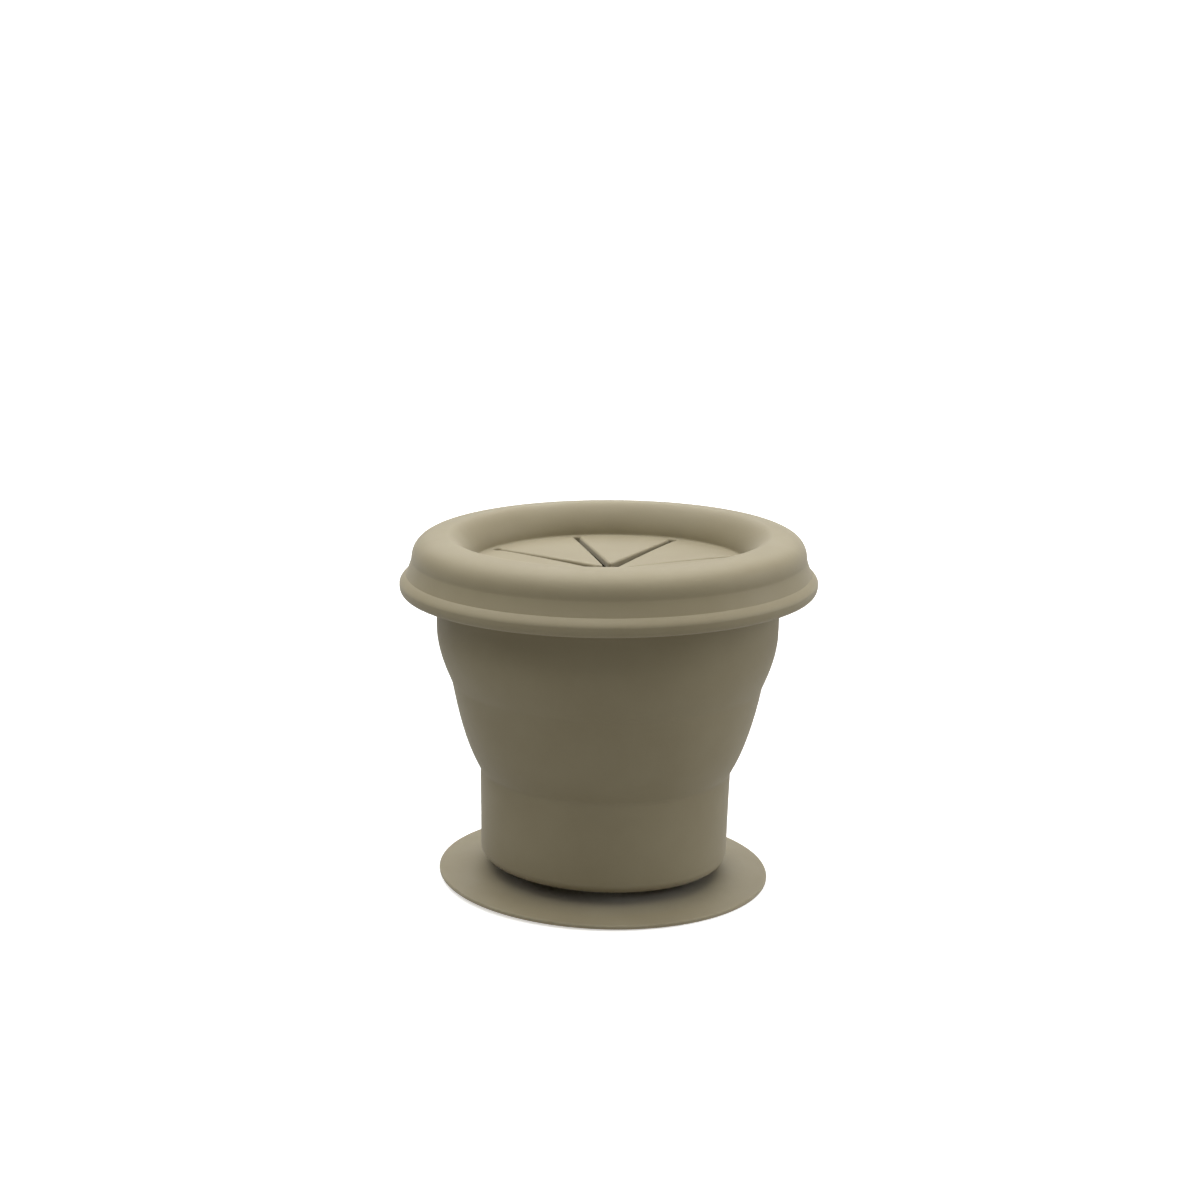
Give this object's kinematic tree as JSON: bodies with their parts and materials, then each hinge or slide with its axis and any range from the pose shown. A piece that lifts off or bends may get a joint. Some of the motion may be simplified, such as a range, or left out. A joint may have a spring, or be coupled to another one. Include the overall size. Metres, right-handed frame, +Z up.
{
  "type": "collapsible cup",
  "caption": "Folding silicone cup that stands on a suction foot, with a domed push-on lid whose recessed disc is slit into soft flaps.",
  "frame": {"origin": "centre of the suction foot's underside, on the surface it stands on", "axes": "+Z up along the cup's axis; the first slit of the lid points 15 degrees from +X towards +Y"},
  "size_m": [0.1, 0.1, 0.0856],
  "materials": {
    "cup_silicone": "matte moulded silicone",
    "lid_silicone": "matte moulded silicone"
  },
  "bodies": {
    "foot": {"suction_rim": "cup_silicone", "suction_disc": "cup_silicone"},
    "cup_base": {"base_neck": "cup_silicone", "cup_floor": "cup_silicone", "lower_tier": "cup_silicone"},
    "middle": {"middle_tier": "cup_silicone", "lower_fold": "cup_silicone"},
    "upper": {"upper_tier": "cup_silicone", "upper_fold": "cup_silicone", "cup_rim": "cup_silicone"},
    "lid": {"lid_ring": "lid_silicone", "lid_skirt": "lid_silicone", "lid_seal": "lid_silicone", "flap_ring": "lid_silicone"},
    "flap_1_body": {"flap_1": "lid_silicone"},
    "flap_2_body": {"flap_2": "lid_silicone"},
    "flap_3_body": {"flap_3": "lid_silicone"},
    "flap_4_body": {"flap_4": "lid_silicone"},
    "flap_5_body": {"flap_5": "lid_silicone"},
    "flap_6_body": {"flap_6": "lid_silicone"},
    "flap_7_body": {"flap_7": "lid_silicone"},
    "flap_8_body": {"flap_8": "lid_silicone"}
  },
  "joints": [
    {"name": "foot_press", "type": "slide", "parent": "foot", "child": "cup_base", "axis": [0, 0, -1], "range_m": [0, 0.001], "stiffness_N_per_m": 2000, "springref_m": -0.0006, "deforming": ["suction_disc"]},
    {"name": "lower_fold_slide", "type": "slide", "parent": "cup_base", "child": "middle", "axis": [0, 0, -1], "range_m": [0, 0.021], "deforming": ["lower_fold"]},
    {"name": "upper_fold_slide", "type": "slide", "parent": "middle", "child": "upper", "axis": [0, 0, -1], "range_m": [0, 0.0215], "deforming": ["upper_fold"]},
    {"name": "lid_lift", "type": "slide", "parent": "upper", "child": "lid", "axis": [0, 0, 1], "range_m": [0, 0.06]},
    {"name": "flap_1_bend", "type": "hinge", "parent": "lid", "child": "flap_1_body", "pos_m": [0.02317, 0.01778, 0.077], "axis": [-0.6088, 0.7934, 0], "range_deg": [-70, 45], "stiffness_Nm_per_rad": 0.006},
    {"name": "flap_2_bend", "type": "hinge", "parent": "lid", "child": "flap_2_body", "pos_m": [0.00381, 0.02895, 0.077], "axis": [-0.9914, 0.1305, 0], "range_deg": [-70, 45], "stiffness_Nm_per_rad": 0.006},
    {"name": "flap_3_bend", "type": "hinge", "parent": "lid", "child": "flap_3_body", "pos_m": [-0.01778, 0.02317, 0.077], "axis": [-0.7934, -0.6088, 0], "range_deg": [-70, 45], "stiffness_Nm_per_rad": 0.006},
    {"name": "flap_4_bend", "type": "hinge", "parent": "lid", "child": "flap_4_body", "pos_m": [-0.02895, 0.00381, 0.077], "axis": [-0.1305, -0.9914, 0], "range_deg": [-70, 45], "stiffness_Nm_per_rad": 0.006},
    {"name": "flap_5_bend", "type": "hinge", "parent": "lid", "child": "flap_5_body", "pos_m": [-0.02317, -0.01778, 0.077], "axis": [0.6088, -0.7934, 0], "range_deg": [-70, 45], "stiffness_Nm_per_rad": 0.006},
    {"name": "flap_6_bend", "type": "hinge", "parent": "lid", "child": "flap_6_body", "pos_m": [-0.00381, -0.02895, 0.077], "axis": [0.9914, -0.1305, 0], "range_deg": [-70, 45], "stiffness_Nm_per_rad": 0.006},
    {"name": "flap_7_bend", "type": "hinge", "parent": "lid", "child": "flap_7_body", "pos_m": [0.01778, -0.02317, 0.077], "axis": [0.7934, 0.6088, 0], "range_deg": [-70, 45], "stiffness_Nm_per_rad": 0.006},
    {"name": "flap_8_bend", "type": "hinge", "parent": "lid", "child": "flap_8_body", "pos_m": [0.02895, -0.00381, 0.077], "axis": [0.1305, 0.9914, 0], "range_deg": [-70, 45], "stiffness_Nm_per_rad": 0.006}
  ]
}
